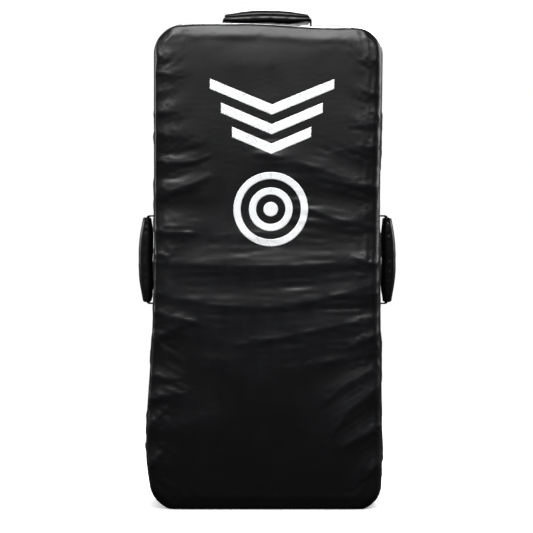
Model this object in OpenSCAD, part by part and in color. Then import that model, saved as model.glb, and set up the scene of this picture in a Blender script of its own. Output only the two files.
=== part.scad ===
// Kick shield: a padded block of laminated foam in a sewn, zipped cover, with a short padded
// handle on the top and on each long side, and two padded arm straps on the back.
// Millimetres. +Z is up the shield, -Y is the struck face, +Y is the back.
// The origin is the centre of the underside that the shield stands on.

/* [Body] */
// Width over the two side gussets
body_w = 350; // [320:5:400]
// Height from the underside to the top gusset
body_h = 750; // [720:10:850]
// Thickness over the front and back panels
body_t = 150; // [140:5:170]
// Corner radius at the top, seen from the front
top_corner_r = 45; // [35:1:60]
// Corner radius at the bottom, seen from the front
base_corner_r = 36; // [30:1:50]
// Rounding of the front and back edges
edge_r = 14; // [10:1:18]
// Thickness of the coated fabric
skin = 1.2; // [0.8:0.1:1.4]
// Height of the seam that joins the bottom gusset to the left one
left_joint_z = 104; // [90:1:130]
// Height of the seam that joins the bottom gusset to the right one
right_joint_z = 68; // [60:1:130]
// Height of the seams that join the side gussets to the top one
high_joint_z = 620; // [600:5:650]

/* [Foam] */
// Slack between the foam block and the cover
foam_slack = 1.5; // [1.4:0.1:2]
// Gap over the foam, where it has sunk and the cover hangs slack
foam_head = 12; // [4:1:14]
// Firm layer behind the struck face
strike_foam_t = 30; // [20:1:40]
// Firm layer behind the back panel
back_foam_t = 25; // [15:1:35]

/* [Outer handles] */
// Distance over the two legs of a handle's webbing
handle_span = 140; // [130:1:160]
// Height of the grip's outer face at its middle
handle_rise = 27.5; // [27:0.5:36]
// Width of the padded grip
handle_band_w = 50; // [46:1:56]
// Height of the middle of the side handles
side_handle_z = 385; // [375:1:400]
// How far an outer handle swings to either side, in degrees
handle_swing = 12; // [6:1:12]

/* [Arm straps] */
// Distance over the two legs of an arm strap's webbing
arm_span = 240; // [220:5:260]
// Height of the arm strap's outer face at its middle
arm_rise = 52; // [48:1:60]
// Width of the padded arm strap
arm_band_w = 60; // [54:1:64]
// Distance from the centre line to the middle of each strap
arm_x = 80; // [70:1:90]
// Height of the middle of the arm straps
arm_z = 400; // [380:5:420]
// How far an arm strap swings to either side, in degrees
arm_swing = 35; // [20:1:35]

/* [Webbing] */
// Width of the woven webbing
webbing_w = 38; // [34:1:40]
// Thickness of the woven webbing
webbing_t = 1.6; // [1.2:0.1:1.8]
// Length of each sewn end
tab_l = 45; // [40:1:50]

/* [Zip] */
// Length of the zip opening
zip_l = 300; // [260:5:310]
// Height of the zip on the back panel
zip_z = 95; // [90:1:100]
// Length of the pull tab beyond its hinge
pull_l = 26; // [20:1:30]

/* [Print] */
// Sideways place of the printed graphic's centre
print_x = 6; // [-10:1:10]
// Height of the target's centre
target_z = 462; // [450:1:480]
// Outer radius of the target
target_r = 62; // [50:1:66]

/* [Hidden] */

$fn = 64;
far = 1000;
front_y = -body_t / 2;
back_y = body_t / 2;
foam_drop = foam_slack - 0.1;
foam_in = skin + foam_slack;
foam_front_y = front_y + foam_in;
foam_back_y = back_y - skin - 3.2;
core_split_y = (foam_front_y + strike_foam_t + foam_back_y - back_foam_t) / 2;

// Zip: everything is measured from the back panel's two faces.
panel_in_y = back_y - skin;
slot_h = 12;
tape_t = 0.8;
tape_h = 14;
coil_gap = 1.2;
coil_h = 2.6;
coil_t = 2.2;
tape_y = panel_in_y - tape_t;
slider_l = 13;
slider_x = zip_l / 2 - 4 - slider_l / 2;
plate_y = panel_in_y + coil_t + 0.4;
plate_t = 1.2;
flange_out = 4.8;
pin_r = 0.8;
eye_r = 0.9;
pin_y = plate_y + plate_t + 2.4;

// Handle proportions, in a frame with u along the handle, v across it and w out of the cover.
sleeve_t = 1.2;
bend_r = 5;
axis_w = 0.6;
tab_gap = 0.4;
thread_t = 0.4;
grip_steps = 24;
// One list per kind: span, rise at the middle, rise at the ends, thickness at the middle,
// thickness at the ends, band width, swing.
outer_kind = [handle_span, handle_rise, handle_rise - 9, 20, 9, handle_band_w, handle_swing];
arm_kind = [arm_span, arm_rise, arm_rise - 14, 16, 9, arm_band_w, arm_swing];

// Front-view outline of the cover, moved in by a distance on every side and lowered at its top.
module outline(inset = 0, head = 0) {
    x = body_w / 2;
    h = body_h - head;
    rt = top_corner_r;
    rb = base_corner_r;
    for (side = [-1, 1]) {
        translate([side * (x - rt), h - rt]) circle(rt - inset);
        translate([side * (x - rb), rb]) circle(rb - inset);
    }
    translate([-x + inset, rb]) square([2 * (x - inset), h - rt - rb]);
    translate([-x + rt, rb]) square([2 * (x - rt), h - inset - rb]);
    translate([-x + rb, inset]) square([2 * (x - rb), rb]);
}

// The outline as a slab between two depths.
module slab(y0, y1, inset = 0, head = 0) {
    translate([0, y1, 0]) rotate([90, 0, 0]) linear_extrude(y1 - y0) outline(inset, head);
}

// A slab whose face at depth y0 has edges rounded to radius r; it is convex.
module rounded_slab(y0, y1, r, inset, head = 0) {
    hull() for (a = [0 : 22.5 : 90])
        slab(y0 + r * (1 - sin(a)), y1, inset + r * (1 - cos(a)), head);
}

// Shallow tray of fabric: the front panel, or the whole back panel once mirrored.
module tray() {
    difference() {
        rounded_slab(front_y, front_y + edge_r, edge_r, 0);
        rounded_slab(front_y + skin, front_y + edge_r + 1, edge_r - skin, skin);
    }
}

module front_panel() {
    color("#17181b") tray();
}

module back_panel(upper) {
    color("#151619") difference() {
        mirror([0, 1, 0]) tray();
        translate([-far, 0, upper ? zip_z - far : zip_z]) cube([2 * far, far, far]);
        translate([-zip_l / 2 - 2, 0, zip_z - slot_h / 2]) cube([zip_l + 4, far, slot_h]);
    }
}

// The band that joins the two trays, cut to one strip by the space that its children fill.
module gusset() {
    color("#131417") intersection() {
        difference() {
            slab(front_y + edge_r, back_y - edge_r);
            slab(front_y, back_y, skin);
        }
        union() children();
    }
}

// Everything on one side of the centre plane between two heights.
module half_space(side, z0, z1) {
    translate([side < 0 ? -far : 0, -far, z0]) cube([far, 2 * far, z1 - z0]);
}

module foam_strike() {
    color("#4a4d52") translate([0, 0, -foam_drop])
        rounded_slab(foam_front_y, foam_front_y + strike_foam_t, edge_r - foam_in, foam_in, foam_head);
}

module foam_core(y0, y1, shade) {
    color(shade) translate([0, 0, -foam_drop]) slab(y0, y1, foam_in, foam_head);
}

module foam_back() {
    color("#4a4d52") translate([0, 0, -foam_drop]) mirror([0, 1, 0])
        rounded_slab(-foam_back_y, -foam_back_y + back_foam_t, edge_r - foam_in, foam_in, foam_head);
}

// Half of the zip: side is 1 above the split and -1 below it.
module zip_tape(side) {
    x = zip_l / 2 + 9;
    z = zip_z + side * (coil_gap / 2 + tape_h / 2);
    color("#0d0d0e") translate([-x, tape_y, z - tape_h / 2]) cube([2 * x, tape_t, tape_h]);
}

module zip_coil(side) {
    z = zip_z + side * (coil_gap / 2 + coil_h / 2);
    color("#1b1b1d") translate([-zip_l / 2, panel_in_y, z - coil_h / 2])
        cube([zip_l, coil_t, coil_h]);
}

module zip_stops() {
    color("#6f7073") {
        for (side = [-1, 1])
            translate([zip_l / 2, panel_in_y, zip_z + side * (coil_gap / 2 + coil_h / 2) - coil_h / 2])
                cube([1.8, coil_t, coil_h]);
        translate([-zip_l / 2 - 1.8, panel_in_y, zip_z - coil_h - coil_gap / 2])
            cube([1.8, coil_t, 2 * coil_h + coil_gap]);
    }
}

// The slider: two plates joined by a post that runs between the coils, side flanges, and an
// arch that carries the pull tab on a cross pin.
module zip_slider() {
    under_y = tape_y - 0.4;
    arch_in = 2.5;
    arch_t = 1.2;
    arch_l = 3.2;
    color("#77787b") translate([slider_x, 0, zip_z]) {
        translate([-slider_l / 2, plate_y, -flange_out])
            cube([slider_l, plate_t, 2 * flange_out]);
        for (side = [-1, 1])
            translate([-slider_l / 2, panel_in_y + 0.4, side * (flange_out - 0.6) - 0.6])
                cube([slider_l, plate_y - panel_in_y, 1.2]);
        translate([slider_l / 2 - 4, under_y - plate_t, -0.4])
            cube([3, plate_y - under_y + plate_t + 0.1, 0.8]);
        translate([-slider_l / 2, under_y - plate_t, -flange_out])
            cube([slider_l, plate_t, 2 * flange_out]);
        for (side = [-1, 1])
            translate([-arch_l / 2, plate_y + plate_t - 0.1, side * (arch_in + arch_t / 2) - arch_t / 2])
                cube([arch_l, pin_y + 1.6 - plate_y - plate_t, arch_t]);
        translate([0, pin_y, -arch_in - 0.1]) cylinder(r = pin_r, h = 2 * arch_in + 0.2);
    }
}

// The pull tab lies flat along -X from the pin; its eye turns on the pin.
module zip_pull() {
    neck_h = 4.2;
    tab_h = 7.5;
    tab_t = 1.4;
    color("#77787b") translate([slider_x, pin_y, zip_z]) difference() {
        union() {
            translate([0, 0, -neck_h / 2]) cylinder(r = 2, h = neck_h);
            translate([-8, -tab_t / 2, -neck_h / 2]) cube([8, tab_t, neck_h]);
            translate([-pull_l + tab_h / 2, -tab_t / 2, -tab_h / 2])
                cube([pull_l - 7 - tab_h / 2, tab_t, tab_h]);
            translate([-pull_l + tab_h / 2, tab_t / 2, 0]) rotate([90, 0, 0])
                cylinder(r = tab_h / 2, h = tab_t);
        }
        translate([0, 0, -neck_h]) cylinder(r = eye_r, h = 2 * neck_h);
        translate([-pull_l + 6, -tab_t, -2]) cube([8, 2 * tab_t, 4]);
    }
}

// Two rows of thread that hold the tapes to the back panel.
module zip_stitching() {
    color("#26272a") for (side = [-1, 1])
        translate([-zip_l / 2 - 6, back_y, zip_z + side * (slot_h / 2 + 3) - 0.3])
            cube([zip_l + 12, thread_t, 0.6]);
}

// Printed film on the front panel: nested chevrons above a ring target.
print_t = 0.2;

module film(z) {
    translate([print_x, front_y, z]) rotate([90, 0, 0]) linear_extrude(print_t) children();
}

module chevron(half_w, thick, drop) {
    polygon([[0, 0], [half_w, drop], [half_w, drop + thick], [0, thick], [-half_w, drop + thick],
        [-half_w, drop]]);
}

module chevron_print() {
    color("#dfe4e8") for (i = [0 : 2])
        film(target_z + target_r + 22 + i * 30) chevron(60 + i * 17, 16, 26 + i * 7);
}

module target_print() {
    color("#dfe4e8") film(target_z) {
        circle(target_r * 0.18);
        for (band = [[0.36, 0.54], [0.74, 0.92]]) difference() {
            circle(target_r * band[1]);
            circle(target_r * band[0]);
        }
    }
}

// The grip's centre line above the cover, and its thickness, at distance u from its middle.
function grip_half(kind) = kind[0] / 2 - webbing_t / 2 - bend_r;
function grip_t(kind, u) = kind[3] + (kind[4] - kind[3]) * pow(u / grip_half(kind), 2);
function grip_top(kind, u) = kind[1] + (kind[2] - kind[1]) * pow(u / grip_half(kind), 2);
function grip_mid(kind, u) = grip_top(kind, u) - grip_t(kind, u) / 2;

// Side view of the grip, inset by a wall, with its ends carried on past it by a length.
function grip_outline(kind, inset, past) = let (
    h = grip_half(kind),
    us = [for (i = [0 : grip_steps]) -h + 2 * h * i / grip_steps],
    top_w = kind[2] - inset,
    low_w = kind[2] - kind[4] + inset,
    top = [for (u = us) [u, grip_top(kind, u) - inset]],
    low = [for (u = us) [-u, grip_top(kind, u) - grip_t(kind, u) + inset]],
    right = past > 0 ? [[h + past, top_w], [h + past, low_w]] : [],
    left = past > 0 ? [[-h - past, low_w], [-h - past, top_w]] : []
) concat(top, right, low, left);

// Centre line of the moving webbing: up one leg, along the grip and down the other leg.
function webbing_path(kind) = let (
    h = grip_half(kind),
    w = grip_mid(kind, h),
    s = kind[0] / 2 - webbing_t / 2,
    left = [for (a = [0 : 15 : 90]) [-s + bend_r * (1 - cos(a)), w - bend_r + bend_r * sin(a)]],
    along = [for (i = [1 : grip_steps - 1])
        let (u = -h + 2 * h * i / grip_steps) [u, grip_mid(kind, u)]],
    right = [for (i = [len(left) - 1 : -1 : 0]) [-left[i][0], left[i][1]]]
) concat([[-s, 0]], left, along, right, [[s, 0]]);

// Points at half the thickness to one side of a path, along its normals.
function beside(path, d) = [for (i = [0 : len(path) - 1]) let (
    a = path[max(i - 1, 0)],
    b = path[min(i + 1, len(path) - 1)],
    n = [a[1] - b[1], b[0] - a[0]] / norm(b - a)
) path[i] + d * n];

function ribbon(path, t) = let (far_side = beside(path, -t / 2)) concat(
    beside(path, t / 2), [for (i = [len(path) - 1 : -1 : 0]) far_side[i]]);

// A side view carried across the handle's width.
module across(width) {
    rotate([90, 0, 0]) linear_extrude(width, center = true) children();
}

module handle_sleeve(kind) {
    difference() {
        across(kind[5]) polygon(grip_outline(kind, 0, 0));
        across(kind[5] - 2 * sleeve_t) polygon(grip_outline(kind, sleeve_t, 1));
    }
}

module handle_padding(kind) {
    difference() {
        across(kind[5] - 2 * sleeve_t) polygon(grip_outline(kind, sleeve_t, 0));
        across(webbing_w + 0.2) polygon(ribbon(webbing_path(kind), webbing_t));
    }
}

// The legs narrow to a point at the swing axis, which leaves room for the swing.
module handle_webbing(kind) {
    narrow_w = axis_w + webbing_w / 2 * tan(kind[6] + 3);
    half = webbing_w / 2;
    intersection() {
        across(webbing_w) polygon(ribbon(webbing_path(kind), webbing_t));
        rotate([90, 0, 90]) linear_extrude(2 * kind[0], center = true)
            polygon([[0, axis_w], [half, narrow_w], [half, far], [-half, far], [-half, narrow_w]]);
    }
}

module handle_tabs(kind) {
    for (side = [-1, 1])
        translate([side * (kind[0] / 2 + tab_gap + tab_l / 2) - tab_l / 2, -webbing_w / 2, 0])
            cube([tab_l, webbing_w, webbing_t]);
}

// A box of stitches with a cross in it on each sewn end.
module handle_stitching(kind) {
    bl = tab_l - 12;
    bw = webbing_w - 8;
    for (side = [-1, 1])
        translate([side * (kind[0] / 2 + tab_gap + tab_l / 2), 0, webbing_t]) {
            for (s = [-1, 1]) {
                translate([-bl / 2, s * bw / 2 - 0.3, 0]) cube([bl, 0.6, thread_t]);
                translate([s * bl / 2 - 0.3, -bw / 2, 0]) cube([0.6, bw, thread_t]);
                rotate([0, 0, s * atan2(bw, bl)]) translate([-norm([bl, bw]) / 2, -0.3, 0])
                    cube([norm([bl, bw]), 0.6, thread_t]);
            }
        }
}

// Stiff patches behind the cover that spread each sewn end's pull.
module handle_backing(kind) {
    for (side = [-1, 1])
        translate([side * (kind[0] / 2 + tab_l / 2) - tab_l / 2 - 4, -webbing_w / 2 - 4, -skin - 1.1])
            cube([tab_l + 8, webbing_w + 8, 1.1]);
}

// Each placement turns the u, v, w frame onto one face of the cover.
module on_top() {
    translate([0, 0, body_h]) children();
}

module on_left() {
    translate([-body_w / 2, 0, side_handle_z]) rotate([0, -90, 0]) children();
}

module on_right() {
    translate([body_w / 2, 0, side_handle_z]) rotate([0, 90, 0]) children();
}

module on_back(x) {
    translate([x, back_y, arm_z]) rotate([-90, 0, 0]) rotate([0, 0, 90]) children();
}

module backing_patches() {
    color("#3a3b3e") {
        on_top() handle_backing(outer_kind);
        on_left() handle_backing(outer_kind);
        on_right() handle_backing(outer_kind);
        on_back(-arm_x) handle_backing(arm_kind);
        on_back(arm_x) handle_backing(arm_kind);
    }
}

// One sub-part of a handle, by its name.
module handle_part(part, kind) {
    if (part == "tabs") color("#0c0c0d") handle_tabs(kind);
    if (part == "stitching") color("#2a2b2e") handle_stitching(kind);
    if (part == "webbing") color("#0c0c0d") handle_webbing(kind);
    if (part == "padding") color("#5a5d61") handle_padding(kind);
    if (part == "sleeve") color("#141518") handle_sleeve(kind);
}

front_panel();
back_panel(true);  // back_panel_upper
back_panel(false);  // back_panel_lower
gusset() {  // gusset_top
    half_space(-1, high_joint_z, far);
    half_space(1, high_joint_z, far);
}
gusset() {  // gusset_bottom
    half_space(-1, -1, left_joint_z);
    half_space(1, -1, right_joint_z);
}
gusset() half_space(-1, left_joint_z, high_joint_z);  // gusset_left
gusset() half_space(1, right_joint_z, high_joint_z);  // gusset_right
foam_strike();
foam_core(foam_front_y + strike_foam_t, core_split_y, "#c9c4b2");  // foam_core_front
foam_core(core_split_y, foam_back_y - back_foam_t, "#bdb8a6");  // foam_core_rear
foam_back();
zip_tape(1);  // zip_tape_upper
zip_tape(-1);  // zip_tape_lower
zip_coil(1);  // zip_coil_upper
zip_coil(-1);  // zip_coil_lower
zip_stops();
zip_slider();
zip_pull();
zip_stitching();
chevron_print();
target_print();
backing_patches();
for (part = ["tabs", "stitching", "webbing", "padding", "sleeve"]) {
    on_top() handle_part(part, outer_kind);
    on_left() handle_part(part, outer_kind);
    on_right() handle_part(part, outer_kind);
    on_back(-arm_x) handle_part(part, arm_kind);
    on_back(arm_x) handle_part(part, arm_kind);
}
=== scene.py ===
# %% [markdown]
# # A kick shield
#
# A kick shield is a block of laminated foam in a sewn cover of black coated fabric. It carries a
# padded handle on its top end and one on each long side, two padded arm straps on its back, and a
# zip low on the back through which the foam goes in. The CAD frame already holds every piece at its
# real size and every joint. This script gives the pieces their looks: the cover's soft folds, the
# puckered seams, woven webbing, thread, the zip's coil and the printed target.

# %% Load the frame
import math

import bpy
import numpy as np
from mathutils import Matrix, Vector


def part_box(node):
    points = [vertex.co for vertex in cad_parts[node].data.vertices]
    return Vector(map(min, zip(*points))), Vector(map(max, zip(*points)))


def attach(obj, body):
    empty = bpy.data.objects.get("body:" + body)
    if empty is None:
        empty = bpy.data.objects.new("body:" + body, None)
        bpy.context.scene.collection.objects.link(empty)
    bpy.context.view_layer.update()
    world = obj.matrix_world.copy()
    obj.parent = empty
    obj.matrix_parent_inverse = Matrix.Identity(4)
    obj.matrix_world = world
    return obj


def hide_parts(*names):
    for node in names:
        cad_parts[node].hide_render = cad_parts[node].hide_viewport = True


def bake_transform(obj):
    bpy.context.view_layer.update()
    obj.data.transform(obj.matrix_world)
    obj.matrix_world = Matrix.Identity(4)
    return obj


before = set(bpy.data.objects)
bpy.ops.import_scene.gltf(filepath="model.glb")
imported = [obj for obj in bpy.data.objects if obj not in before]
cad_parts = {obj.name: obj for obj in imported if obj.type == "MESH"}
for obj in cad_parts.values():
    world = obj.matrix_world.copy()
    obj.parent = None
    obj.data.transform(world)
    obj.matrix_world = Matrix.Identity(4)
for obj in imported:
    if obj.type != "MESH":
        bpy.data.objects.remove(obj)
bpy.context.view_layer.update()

# %% [markdown]
# ## Sizes from the frame
#
# Every place below is worked out from the boxes of the CAD nodes, so the soft pieces land where the
# design has them. Lengths are metres. MM turns a maker's millimetres into metres.

# %% Sizes of the cover
MM = 0.001
HALF_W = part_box("gusset_right")[1].x
TOP_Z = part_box("gusset_top")[1].z
FACE_Y = -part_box("front_panel")[0].y
JOINT_Z = {side: (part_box("gusset_" + side)[0].z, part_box("gusset_" + side)[1].z)
           for side in ("left", "right")}
ZIP_Z = (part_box("zip_tape_lower")[0].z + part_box("zip_tape_upper")[1].z) / 2
ZIP_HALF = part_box("zip_coil_upper")[1].x
TOP_CORNER = 45 * MM
BASE_CORNER = 36 * MM
SKIN = 1.2 * MM
print(f"cover: {2 * HALF_W:.3f} wide, {TOP_Z:.3f} high, {2 * FACE_Y:.3f} thick")

# %% [markdown]
# ## Small helpers
#
# Smooth steps fade one shape into another. Value noise gives cloth its unevenness: random numbers on
# a lattice, joined by smooth steps. It is seeded, so every run makes the same cover.

# %% Smooth steps and seeded noise


def smooth(x):
    """Smooth step: 0 below 0, 1 above 1, and 3 x squared minus 2 x cubed between."""
    x = np.clip(x, 0, 1)
    return x * x * (3 - 2 * x)


def plateau(x, half):
    """1 near 0, falling to 0 beyond half: the exponential of minus x over half to the 8th."""
    return np.exp(-((x / half) ** 8))


def noise(x, z, size, seed):
    """Value noise from -1 to 1: random lattice values, blended by smooth steps of the remainder."""
    table = np.random.default_rng(seed).uniform(-1, 1, (64, 64))
    i, j = np.floor(x / size).astype(int), np.floor(z / size).astype(int)
    fi, fj = smooth(x / size - i), smooth(z / size - j)
    a, b = table[i % 64, j % 64], table[(i + 1) % 64, j % 64]
    c, d = table[i % 64, (j + 1) % 64], table[(i + 1) % 64, (j + 1) % 64]
    return (a * (1 - fi) + b * fi) * (1 - fj) + (c * (1 - fi) + d * fi) * fj


# %% Meshes from arrays


def add_piece(name, verts, faces, uv=None):
    """Make an object from an array of points and faces; uv holds one pair per point, in metres."""
    mesh = bpy.data.meshes.new(name)
    mesh.from_pydata(np.asarray(verts).reshape(-1, 3).tolist(), [], [list(f) for f in faces])
    if uv is not None:
        corner = np.empty(len(mesh.loops), int)
        mesh.loops.foreach_get("vertex_index", corner)
        layer = mesh.uv_layers.new(name="cloth")
        layer.data.foreach_set("uv", np.asarray(uv).reshape(-1, 2)[corner].ravel())
    mesh.polygons.foreach_set("use_smooth", np.full(len(mesh.polygons), True))
    mesh.update()
    piece = bpy.data.objects.new(name, mesh)
    bpy.context.scene.collection.objects.link(piece)
    return piece


def grid_faces(rows, cols, wrap=False):
    """Quads of a grid whose points run row by row; wrap joins the last column to the first."""
    index = np.arange(rows * cols).reshape(rows, cols)
    if wrap:
        index = np.hstack([index, index[:, :1]])
    quads = [index[:-1, :-1], index[:-1, 1:], index[1:, 1:], index[1:, :-1]]
    return np.stack(quads, -1).reshape(-1, 4).tolist()


def tube_faces(rows, around):
    """Faces of a tube of rings, closed by a polygon at each end."""
    last = (rows - 1) * around
    ends = [list(range(around))[::-1], list(range(last, last + around))]
    return grid_faces(rows, around, wrap=True) + ends


def thicken(piece, depth):
    """Give a sheet its thickness, inwards from its outer face."""
    wall = piece.modifiers.new("thickness", "SOLIDIFY")
    wall.thickness = depth
    wall.offset = -1


# %% [markdown]
# ## Shader maths in plain Python
#
# A pattern is easier to read as an expression than as a web of nodes. Value wraps one socket and
# overloads the operators, so 1 - mask adds a Subtract node. Shader.node makes any other node from its
# type, its settings and the values or links of its sockets.

# %% Sockets as values


class Value:
    """A number socket of a material, which arithmetic can be written with."""

    def __init__(self, shader, socket):
        self.shader, self.socket = shader, socket

    def math(self, operation, first, second=0.5):
        made = self.shader.node("ShaderNodeMath", {"operation": operation}, {0: first, 1: second})
        return made[0]

    def __add__(self, other):
        return self.math("ADD", self, other)

    def __sub__(self, other):
        return self.math("SUBTRACT", self, other)

    def __rsub__(self, other):
        return self.math("SUBTRACT", other, self)

    def __mul__(self, other):
        return self.math("MULTIPLY", self, other)

    __radd__, __rmul__ = __add__, __mul__

    def wave(self):
        """Half of one plus the sine: from 0 to 1 and back."""
        return self.math("SINE", self) * 0.5 + 0.5

    def below(self, edge, soft):
        """1 under an edge and 0 over it, with a soft change between."""
        ramp = {"interpolation_type": "SMOOTHSTEP"}
        sockets = {"Value": self, "From Min": edge, "From Max": edge + soft, "To Min": 1, "To Max": 0}
        return self.shader.node("ShaderNodeMapRange", ramp, sockets)[0]


class Shader:
    """A material being written: its nodes, and its principled shader with constants set on it."""

    def __init__(self, name, **constants):
        self.material = bpy.data.materials.new(name)
        self.material.use_nodes = True
        self.tree = self.material.node_tree
        self.surface = self.tree.nodes["Principled BSDF"]
        self.set(**constants)

    def node(self, kind, settings=None, sockets=None):
        """Add a node: settings first, then the values or links of its sockets."""
        made = self.tree.nodes.new(kind)
        for key, value in (settings or {}).items():
            setattr(made, key, value)
        for key, value in (sockets or {}).items():
            self.fill(made.inputs[key], value)
        return [Value(self, output) for output in made.outputs]

    def fill(self, socket, value):
        if isinstance(value, Value):
            self.tree.links.new(value.socket, socket)
        else:
            socket.default_value = value

    def set(self, **sockets):
        """Fill the shader's own sockets; an underscore in a name stands for a space."""
        for key, value in sockets.items():
            self.fill(self.surface.inputs[key.replace("_", " ")], value)

    def place(self, scale=(1.0, 1.0, 1.0)):
        """Object coordinates in metres, stretched by a scale."""
        spot = self.node("ShaderNodeTexCoord")[3]
        return self.node("ShaderNodeMapping", None, {"Vector": spot, "Scale": scale})[0]

    def uv(self):
        """The piece's own flat coordinates in metres, as separate numbers."""
        spot = self.node("ShaderNodeUVMap", {"uv_map": "cloth"})[0]
        return self.node("ShaderNodeSeparateXYZ", None, {0: spot})

    def cloud(self, size, detail=3.0, rough=0.5, at=None):
        """Noise from 0 to 1 with features of a size in metres."""
        spot = at or self.place()
        sockets = {"Vector": spot, "Scale": 1 / size, "Detail": detail, "Roughness": rough}
        return self.node("ShaderNodeTexNoise", None, sockets)[0]

    def mix(self, factor, first, second):
        """A colour between two others."""
        sockets = {"Factor": factor, 6: first, 7: second}
        return self.node("ShaderNodeMix", {"data_type": "RGBA"}, sockets)[2]

    def cells(self, size, **settings):
        """Voronoi distance, for cells of a size in metres."""
        sockets = {"Vector": self.place(), "Scale": 1 / size}
        return self.node("ShaderNodeTexVoronoi", settings, sockets)[0]

    def tones(self, factor, tint, dark, light):
        """A tint from its dark tone at 0 to its light tone at 1; each tone is a multiple of it."""
        return self.mix(factor, rgba(*(c * dark for c in tint)), rgba(*(c * light for c in tint)))

    def bump(self, height, depth, strength):
        """A bumped normal from a height of 0 to 1 and its depth in metres."""
        sockets = {"Height": height, "Distance": depth, "Strength": strength}
        return self.node("ShaderNodeBump", None, sockets)[0]


def rgba(r, g, b):
    return (r, g, b, 1.0)


# %% [markdown]
# ## The coated fabric
#
# The cover is polyurethane on a woven back: black, smooth to the hand, with a fine pebble grain and a
# satin sheen. Rubbing polishes it in patches, and a painted sheen greys it a little along the crests.
# The grain is two sizes of cells in a bump, the polish is a slow change of roughness, and the painted
# sheen follows a value named "crest" that the cover's meshes carry.

# %% Coated fabric


def coated_fabric(name, tint, rough, crest=True):
    """Pebble grain from cells and fine noise; slow noise varies the polish and the tint."""
    s = Shader(name, Specular_IOR_Level=0.3, Coat_Roughness=0.3, Coat_IOR=1.5)
    grain = s.cells(0.0011)
    fine = s.cloud(0.0006, 2)
    patches = s.cloud(0.11, 4, 0.6)
    smears_and_sheen = s.cloud(0.02, 5, 0.65, s.place((1.0, 1.0, 0.35)))
    colour = s.tones(patches, tint, 0.8, 1.25)
    if crest:
        # Painted sheen: the colour turns bluish grey along the fold crests, broken up by streaky noise.
        crest_sheen = s.node("ShaderNodeAttribute", {"attribute_name": "crest"})[2] * smears_and_sheen
        colour = s.mix(crest_sheen * 0.3, colour, rgba(0.035, 0.036, 0.04))
    shine = rough - 0.06 + patches * 0.08 + smears_and_sheen * 0.05
    relief = s.bump(grain + fine * 0.4, 0.0001, 0.6)
    s.set(Base_Color=colour, Roughness=shine, Coat_Weight=0.08 - patches * 0.05, Normal=relief)
    return s.material


COVER = coated_fabric("black coated fabric", (0.003, 0.0031, 0.0037), 0.35)
GRIP = coated_fabric("grip coated fabric", (0.003, 0.0031, 0.0035), 0.34, False)

# %% [markdown]
# ## Webbing, thread and tape
#
# Polypropylene webbing is a herringbone of flat yarns across a strap 38 mm wide. Its own flat
# coordinates run along and across the strap, so the weave turns with every bend. The height is made
# of sines: yarns across the strap, broken by ribs along it.

# %% Webbing


def webbing_finish(name, tint, pitch):
    """Twill of sines: yarns slant with a zigzag across the strap, and ribs run along it."""
    s = Shader(name, Specular_IOR_Level=0.35)
    along, across = s.uv()[:2]
    turns = 2 * math.pi / pitch
    zig = across.math("PINGPONG", across + 1.0, pitch * 4)
    twill = (along + zig * 0.8) * turns
    ribs = across * (turns * 0.5)
    height = twill.wave() * 0.7 + ribs.wave() * 0.3
    fuzz = s.cloud(0.0012, 4)
    # Painted shade and highlight: the colour follows the weave's height, darker in the hollows between
    # the yarns and lighter on their tops.
    colour = s.tones(height * 0.8 + fuzz * 0.2, tint, 0.45, 1.5)
    relief = s.bump(height + fuzz * 0.3, pitch * 0.22, 0.8)
    s.set(Base_Color=colour, Roughness=0.62 + fuzz * 0.2, Normal=relief)
    return s.material


def thread_finish(name, tint):
    """Twisted plies: a sine of the distance along plus a share of the distance around."""
    s = Shader(name, Specular_IOR_Level=0.45)
    along, across = s.uv()[:2]
    ply = (along + across * 0.8) * (2 * math.pi / 0.0008)
    twist = ply.wave()
    # Painted shade and highlight: the colour follows the twist, darker in the grooves between the plies
    # and lighter on their crowns.
    colour = s.tones(twist, tint, 0.5, 1.4)
    s.set(Base_Color=colour, Roughness=0.5 + s.cloud(0.004) * 0.15, Normal=s.bump(twist, 0.0001, 0.7))
    return s.material


WEBBING = webbing_finish("woven webbing", (0.016, 0.016, 0.018), 0.0017)
TAPE = webbing_finish("zip tape weave", (0.014, 0.014, 0.015), 0.0009)
THREAD = thread_finish("bonded thread", (0.03, 0.03, 0.033))

# %% [markdown]
# ## Foam, canvas, metal, coil and print
#
# These finishes are simpler. Foam is cells in a bump, canvas is a plain weave, the zip's metal is
# dark paint worn to a duller coat, and the print is a thick transfer film that has crazed a little.

# %% Other finishes


def foam_finish(name, tint, cell):
    """Cells of one size, with painted shade in their pits, toned by slow noise."""
    s = Shader(name, Specular_IOR_Level=0.3)
    cells = s.cells(cell)
    shade = s.cloud(0.03, 4)
    # Painted shade: the colour is darker at the cell centres, the pits of the bump.
    colour = s.tones(cells * 0.6 + shade * 0.4, tint, 0.75, 1.15)
    s.set(Base_Color=colour, Roughness=0.85 + shade * 0.1, Normal=s.bump(cells, cell * 0.4, 0.8))
    return s.material


def canvas_finish(name, tint):
    """Plain weave from square cells."""
    s = Shader(name, Specular_IOR_Level=0.3)
    weave = s.cells(1 / 1100, distance="MANHATTAN")
    shade = s.cloud(0.01, 4)
    colour = s.tones(weave, tint, 1.3, 0.6)
    s.set(Base_Color=colour, Roughness=0.8 + shade * 0.15, Normal=s.bump(weave, 0.0003, 0.7))
    return s.material


def metal_finish(name, tint):
    """Worn paint with scratches drawn out along x."""
    s = Shader(name, Specular_IOR_Level=0.5)
    wear = s.cloud(0.003, 5, 0.7)
    scratch = s.cloud(0.0012, 3, 0.5, s.place((0.2, 1.0, 1.0)))
    colour = s.tones(wear, tint, 0.8, 1.25)
    shine = 0.24 + wear * 0.16 + scratch * 0.08
    s.set(Base_Color=colour, Metallic=0.85, Roughness=shine, Normal=s.bump(scratch, 0.00004, 0.6))
    return s.material


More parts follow.
